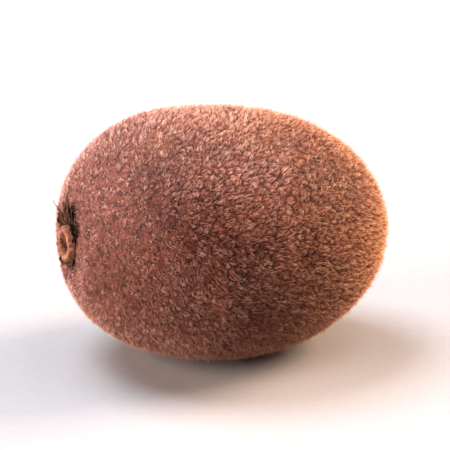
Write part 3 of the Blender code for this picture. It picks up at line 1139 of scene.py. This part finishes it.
@dataclass
class Calyx:
    """The dried sepals round the scar, the crust that they grow from, and shreds and wisps."""

    form: FruitForm
    crust_radius: float = 4.05 * MM
    crust_thickness: float = 0.26 * MM
    root: float = 3.65 * MM
    highest: float = 1.3 * MM  # that a leaf rises, and the lowest that it sinks
    lowest: float = -0.1 * MM
    torn: tuple[float, float] = (0.18, 0.16)  # coarse and fine tears of a leaf's long edges
    ragged: tuple[float, float] = (0.12, 0.10)  # and of its tip
    crumple: tuple[float, float] = (0.20 * MM, 0.12 * MM)  # coarse and fine folds
    crust_bumps: float = 0.21 * MM
    crust_sunk: float = 0.92 * MM
    leaf_wall: float = 0.18 * MM
    leaf_clear: float = 0.42 * MM  # between the skin and the middle of a flat leaf
    sepals: tuple[LeafShape, ...] = (
        LeafShape(math.radians(4.0), 5.8 * MM, 2.1 * MM, 0.5, 0.5, 0.25, 3.9 * MM, 41),
        LeafShape(math.radians(50.0), 4.0 * MM, 1.7 * MM, 1.0, 0.7, -0.6, 3.9 * MM, 42),
        LeafShape(math.radians(138.0), 1.6 * MM, 1.1 * MM, 0.9, 0.6, 0.3, 3.7 * MM, 43),
        LeafShape(math.radians(214.0), 2.2 * MM, 1.5 * MM, 0.9, 0.5, -0.4, 3.8 * MM, 44),
        LeafShape(math.radians(306.0), 3.2 * MM, 1.5 * MM, 0.6, 0.4, 0.5, 3.7 * MM, 45),
    )
    sepal_grid: tuple[int, int] = (24, 16)  # faces along and across
    shred_grid: tuple[int, int] = (14, 3)
    shred_count: int = 22
    shred_seed: int = 60
    wisp_count: int = 60
    wisp_seed: int = 61
    upper_heading: float = 0.15  # the middle of where most shreds and wisps grow, in radians
    wisp_radius: float = 0.085 * MM
    wisp_height: float = 0.25 * MM

    def build(self, finish: DrySepal) -> Object:
        """Makes the calyx.

        Args:
            finish: its finish.

        Returns:
            The piece.
        """
        at = self.form.end_frame(End.STEM)
        pieces = [self.crust(at)]
        pieces += [self.dry_leaf(at, shape, *self.sepal_grid) for shape in self.sepals]
        pieces += [self.dry_leaf(at, shape, *self.shred_grid) for shape in self.shreds()]
        pieces += self.wisps(at)
        calyx = joined(pieces, "dried_calyx")
        hand_over(calyx, finish.material(), "calyx")
        return calyx

    def crust(self, at: Matrix) -> Object:
        """Makes the dark, corky ring that the sepals grow from."""
        deselect_all()
        bpy.ops.mesh.primitive_torus_add(
            major_radius=self.crust_radius - self.crust_thickness,
            minor_radius=self.crust_thickness,
            major_segments=110,
            minor_segments=14,
        )
        crust = bpy.context.object
        places = points_of(crust.data)
        turn = np.arctan2(places[:, 1], places[:, 0])
        ring = circle_points(turn, places[:, 2] / MM)
        bumps = Drift(0.25, 51).at(ring) + 0.9 * Drift(0.08, 52).at(ring)
        places += self.crust_bumps * bumps
        places[:, 2] -= self.crust_sunk
        set_points(crust.data, places)
        set_worn(crust.data, 0.3 + 0.3 * bumps[:, 0])
        crust.data.transform(at)
        return crust

    def shreds(self) -> list[LeafShape]:
        """Picks the shapes of the torn strips, most of them at the top and the front."""
        rng = np.random.default_rng(self.shred_seed)
        shapes = []
        for number in range(self.shred_count):
            upper = number % 5 != 0
            heading = rng.normal(self.upper_heading, 0.42) if upper else rng.uniform(2.6, 6.0)
            shapes.append(
                LeafShape(
                    heading=heading,
                    length=rng.uniform(2.6, 6.2) * MM if upper else rng.uniform(1.4, 3.0) * MM,
                    half_width=rng.uniform(0.16, 0.42) * MM,
                    arc=rng.uniform(0.15, 0.85),
                    roll=rng.uniform(0.1, 0.4),
                    twist=rng.uniform(-0.55, 0.55),
                    root=self.root + rng.uniform(0.0, 1.2) * MM,
                    seed=100 + number,
                )
            )
        return shapes

    def dry_leaf(self, at: Matrix, shape: LeafShape, columns: int, rows: int) -> Object:
        """Makes one shrivelled sepal or shred.

        Args:
            at: the frame of the stem end.
            shape: its sizes.
            columns: how many faces it has along it.
            rows: how many faces it has across it.

        Returns:
            The object, thickened, with its place in its mesh.
        """
        deselect_all()
        bpy.ops.mesh.primitive_grid_add(x_subdivisions=columns, y_subdivisions=rows, size=2.0)
        leaf = bpy.context.object
        flat = points_of(leaf.data)
        out = (flat[:, 0] + 1.0) / 2.0
        side = flat[:, 1]
        coarse = Drift(0.45, shape.seed, channels=4).at(flat)
        fine = Drift(0.16, shape.seed + 500, channels=4).at(flat)
        torn = 1.0 + (self.torn[0] * coarse[:, 0] + self.torn[1] * fine[:, 0]) * np.abs(side)
        # Widest about a third of the way out, and drawn to a point at the tip
        taper = 0.80 + 0.85 * out - 1.62 * out**2.2
        half = shape.half_width * np.maximum(taper, 0.06) * torn
        ragged = self.ragged[0] * coarse[:, 1] + self.ragged[1] * fine[:, 1]
        reach = shape.length * (1.0 + ragged * smooth_step(out, 0.5, 1.0)) * out
        bend = shape.arc / shape.length
        distance = shape.root + np.sin(bend * reach) / bend
        lift = (1.0 - np.cos(bend * reach)) / bend
        lift += shape.roll * side**2 * half * (0.4 + 0.6 * out) * (1.0 + 0.6 * coarse[:, 2])
        lift += self.crumple[0] * coarse[:, 3] * out + self.crumple[1] * fine[:, 2]
        turn = shape.heading + shape.twist * out**2 * 0.6 + half * side / distance
        heights = self.leaf_clear + np.clip(lift, self.lowest, self.highest)
        set_points(leaf.data, np.array(self.form.over_skin(at, distance, turn, heights)))
        set_worn(leaf.data, np.maximum(np.abs(side), smooth_step(out, 0.6, 1.0)))
        wall = leaf.modifiers.new("leaf", "SOLIDIFY")
        wall.thickness = self.leaf_wall
        wall.offset = 0.0
        refine(leaf, 1)
        apply_modifiers(leaf)
        return leaf

    def wisps(self, at: Matrix) -> list[Object]:
        """Lays the loose dark threads that trail from the sepals over the shoulder.

        Args:
            at: the frame of the stem end.

        Returns:
            The threads' objects.
        """
        rng = np.random.default_rng(self.wisp_seed)
        steps = np.linspace(0.0, 1.0, 6)
        threads = []
        for number in range(self.wisp_count):
            upper = number % 4 != 0
            heading = rng.normal(self.upper_heading, 0.45) if upper else rng.uniform(0.0, math.tau)
            reach = (rng.uniform(2.0, 5.5) if upper else rng.uniform(0.8, 2.2)) * MM
            sway = rng.uniform(-0.5, 0.5)
            lift = rng.uniform(0.15, 0.9) * MM
            start = self.root + rng.uniform(0.0, 1.6) * MM
            heights = self.wisp_height + lift * np.sin(math.pi * np.minimum(steps * 1.2, 1.0))
            path = self.form.over_skin(at, start + reach * steps, heading + sway * steps**2, heights)
            threads.append(strand(f"wisp_{number}", path, self.wisp_radius * rng.uniform(0.7, 1.5)))
        return threads


def strand(name: str, path: list[Vector], radius: float, taper: float = 0.8) -> Object:
    """Makes a tapering thread.

    Args:
        name: the object's name.
        path: the points that it runs through.
        radius: its radius at the root.
        taper: the share of the radius that is lost by the tip.

    Returns:
        The thread as a closed mesh, with how worn it is growing towards its tip.
    """
    curve = bpy.data.curves.new(name, "CURVE")
    curve.dimensions = "3D"
    curve.bevel_depth = radius
    curve.bevel_resolution = 0
    curve.use_fill_caps = True
    spline = curve.splines.new("POLY")
    spline.points.add(len(path) - 1)
    for number, (point, place) in enumerate(zip(spline.points, path)):
        point.co = (*place, 1.0)
        point.radius = STRAND_SWELL - taper * number / (len(path) - 1)
    take_up(lay_out(name, curve))
    bpy.ops.object.convert(target="MESH")
    thread = bpy.context.object
    edit_all(thread)
    bpy.ops.mesh.remove_doubles(threshold=WELD)
    bpy.ops.mesh.normals_make_consistent(inside=False)
    bpy.ops.object.mode_set(mode="OBJECT")
    far = np.linalg.norm(points_of(thread.data) - np.array(path[0]), axis=1)
    set_worn(thread.data, far / max(far.max(), TINY))
    return thread


@dataclass
class StyleTuft:
    """The dried styles at the blossom end: a small button with curled black threads."""

    form: FruitForm
    button_radius: float = 1.35 * MM
    button_height: float = 1.1 * MM
    button_bumps: float = 0.22  # share of its radius
    count: int = 36
    reach: tuple[float, float] = (1.8 * MM, 3.5 * MM)
    radius: float = 0.23 * MM
    root: float = 0.6 * MM  # distance of each root from the axis
    height: float = 0.8 * MM  # of a straight thread over the skin
    lowest: float = 0.3 * MM  # that any thread comes down to
    tip_loss: float = 0.55  # share of a thread's radius that is lost by its tip
    seed: int = 71

    def build(self, finish: DryStyle) -> Object:
        """Makes the tuft.

        Args:
            finish: its finish.

        Returns:
            The piece.
        """
        at = self.form.end_frame(End.BLOSSOM)
        tuft = joined([self.button(at), *self.threads(at)], "dried_styles")
        hand_over(tuft, finish.material(), "style_tuft")
        return tuft

    def button(self, at: Matrix) -> Object:
        """Makes the hard knob in the middle."""
        deselect_all()
        bpy.ops.mesh.primitive_uv_sphere_add(segments=40, ring_count=20, radius=1.0)
        button = bpy.context.object
        places = points_of(button.data)
        bumps = Drift(0.35, 72, channels=1).at(places)[:, 0]
        bumps += 0.5 * Drift(0.12, 73).at(places)[:, 0]
        places *= (1.0 + self.button_bumps * bumps)[:, None]
        places[:, :2] *= self.button_radius
        places[:, 2] *= self.button_height / 2.0
        foot, _ = self.form.skin_under(at, 0.0, 0.0)
        places[:, 2] += (at.inverted() @ foot).z + self.lowest + self.button_height / 2.0
        set_points(button.data, places)
        set_worn(button.data, np.full(len(places), 0.2))
        button.data.transform(at)
        return button

    def threads(self, at: Matrix) -> list[Object]:
        """Makes the curled threads.

        Args:
            at: the frame of the blossom end.

        Returns:
            The threads' objects.
        """
        rng = np.random.default_rng(self.seed)
        steps = np.linspace(0.0, 1.0, 9)
        threads = []
        for number in range(self.count):
            heading = 2.0 * math.pi * (number + rng.uniform(-0.4, 0.4)) / self.count
            reach = rng.uniform(*self.reach)
            sway = rng.uniform(-0.9, 0.9)
            arch = rng.uniform(0.2, 0.8) * MM
            curl = rng.uniform(-0.6, 0.3) * MM
            heights = self.height + arch * np.sin(math.pi * steps) + curl * steps**2
            headings = -heading - sway * steps**1.6
            heights = np.maximum(heights, self.lowest)
            path = self.form.over_skin(at, self.root + reach * steps, headings, heights)
            radius = self.radius * rng.uniform(0.7, 1.3)
            threads.append(strand(f"style_{number}", path, radius, self.tip_loss))
        return threads


@dataclass
class SoftBox:
    """One soft studio light."""

    name: str
    azimuth: float
    elevation: float
    distance: float
    side: float
    power: float
    colour: str


@dataclass
class Studio:
    """The pale floor, the soft lights and the camera."""

    azimuth: float = -20.0
    elevation: float = 20.0
    distance: float = 0.80
    filled: float = 0.76
    sensor: float = 36.0
    floor_side: float = 12.0
    world: str = "#ffc69c"
    world_strength: float = 0.04
    lights: tuple[SoftBox, ...] = (
        SoftBox("key", -146.0, 62.0, 2.5, 1.5, 139.0, "#dfecff"),
        SoftBox("top", 85.0, 68.0, 2.5, 1.5, 34.0, "#eceeff"),
        SoftBox("rim_right", 94.0, 30.0, 1.6, 0.8, 65.0, "#ffe0c8"),
        SoftBox("rim_left", -86.0, 22.0, 1.6, 0.8, 38.0, "#ffe9e4"),
        SoftBox("low_left", -74.0, 8.0, 1.4, 0.45, 13.0, "#ffe3da"),
    )

    def direction(self, azimuth: float, elevation: float) -> Vector:
        """Returns the way from the fruit to a camera or light at two angles in degrees."""
        a, e = math.radians(azimuth), math.radians(elevation)
        return Vector((math.sin(a) * math.cos(e), -math.cos(a) * math.cos(e), math.sin(e)))

    def build(self) -> None:
        """Lays the floor, hangs the lights and sets the camera."""
        low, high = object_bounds()
        centre = (low + high) / 2.0
        self.lay_floor()
        self.hang_lights(centre)
        self.set_camera(centre, low, high)
        bpy.context.scene.view_settings.view_transform = "Standard"

    def lay_floor(self) -> None:
        """Lays the sheet of background paper."""
        deselect_all()
        bpy.ops.mesh.primitive_plane_add(size=self.floor_side, location=(0.0, 0.0, 0.0))
        floor = bpy.context.object
        floor.name = floor.data.name = "floor"
        floor.data.materials.append(StudioPaper().material())
        floor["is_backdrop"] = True

    def hang_lights(self, centre: Vector) -> None:
        """Hangs the soft boxes and sets the soft light from all round."""
        for box in self.lights:
            lamp = bpy.data.lights.new(box.name, "AREA")
            lamp.shape = "SQUARE"
            lamp.size = box.side
            lamp.energy = box.power
            lamp.color = linear(box.colour)[:3]
            holder = lay_out(box.name, lamp)
            way = self.direction(box.azimuth, box.elevation)
            holder.location = centre + way * box.distance
            holder.rotation_euler = way.to_track_quat("Z", "Y").to_euler()
        world = bpy.data.worlds.new("studio")
        bpy.context.scene.world = world
        world.use_nodes = True
        sky = world.node_tree.nodes["Background"]
        sky.inputs[0].default_value = linear(self.world)
        sky.inputs[1].default_value = self.world_strength

    def set_camera(self, centre: Vector, low: Vector, high: Vector) -> None:
        """Sets the camera so that the fruit fills a share of the image's width.

        Args:
            centre: the middle of the fruit's box.
            low: the box's lowest corner.
            high: its highest corner.
        """
        lens = bpy.data.cameras.new("camera")
        camera = lay_out("camera", lens)
        back = self.direction(self.azimuth, self.elevation)
        camera.location = centre + back * self.distance
        camera.rotation_euler = back.to_track_quat("Z", "Y").to_euler()
        lens.sensor_width = self.sensor
        lens.lens = self.filled * self.sensor * self.distance / (high.x - low.x)
        lens.clip_start = 0.01
        lens.clip_end = 50.0
        bpy.context.scene.camera = camera


def main() -> None:
    """Builds the kiwi's pieces in order, then the studio."""
    logging.basicConfig(level=logging.INFO, format="%(message)s")
    form = FruitForm()
    peel = Peel(form).build(HairySkin())
    coat = HairCoat(form, peel)
    hair = KiwiHair().material()
    kinds = (
        HairKind("down_a", 42500, (0.6 * MM, 1.0 * MM), 0.046 * MM, 0.85, 0.50, False, 0.56, 11),
        HairKind("down_b", 42500, (0.7 * MM, 1.1 * MM), 0.044 * MM, 0.80, 0.55, False, 0.61, 21),
        HairKind("down_c", 42500, (0.7 * MM, 1.2 * MM), 0.042 * MM, 0.75, 0.60, False, 0.66, 31),
        HairKind("down_d", 42500, (0.8 * MM, 1.3 * MM), 0.040 * MM, 0.70, 0.60, False, 0.72, 51),
        HairKind("long_hairs", 12000, (1.1 * MM, 1.8 * MM), 0.036 * MM, 0.45, 0.25, True, 0.74, 41),
    )
    for kind in kinds:
        coat.grow(kind, hair)
    StemScar(form).build(WoodyScar())
    Calyx(form).build(DrySepal())
    StyleTuft(form).build(DryStyle())
    Studio().build()


if __name__ == "__main__":
    main()
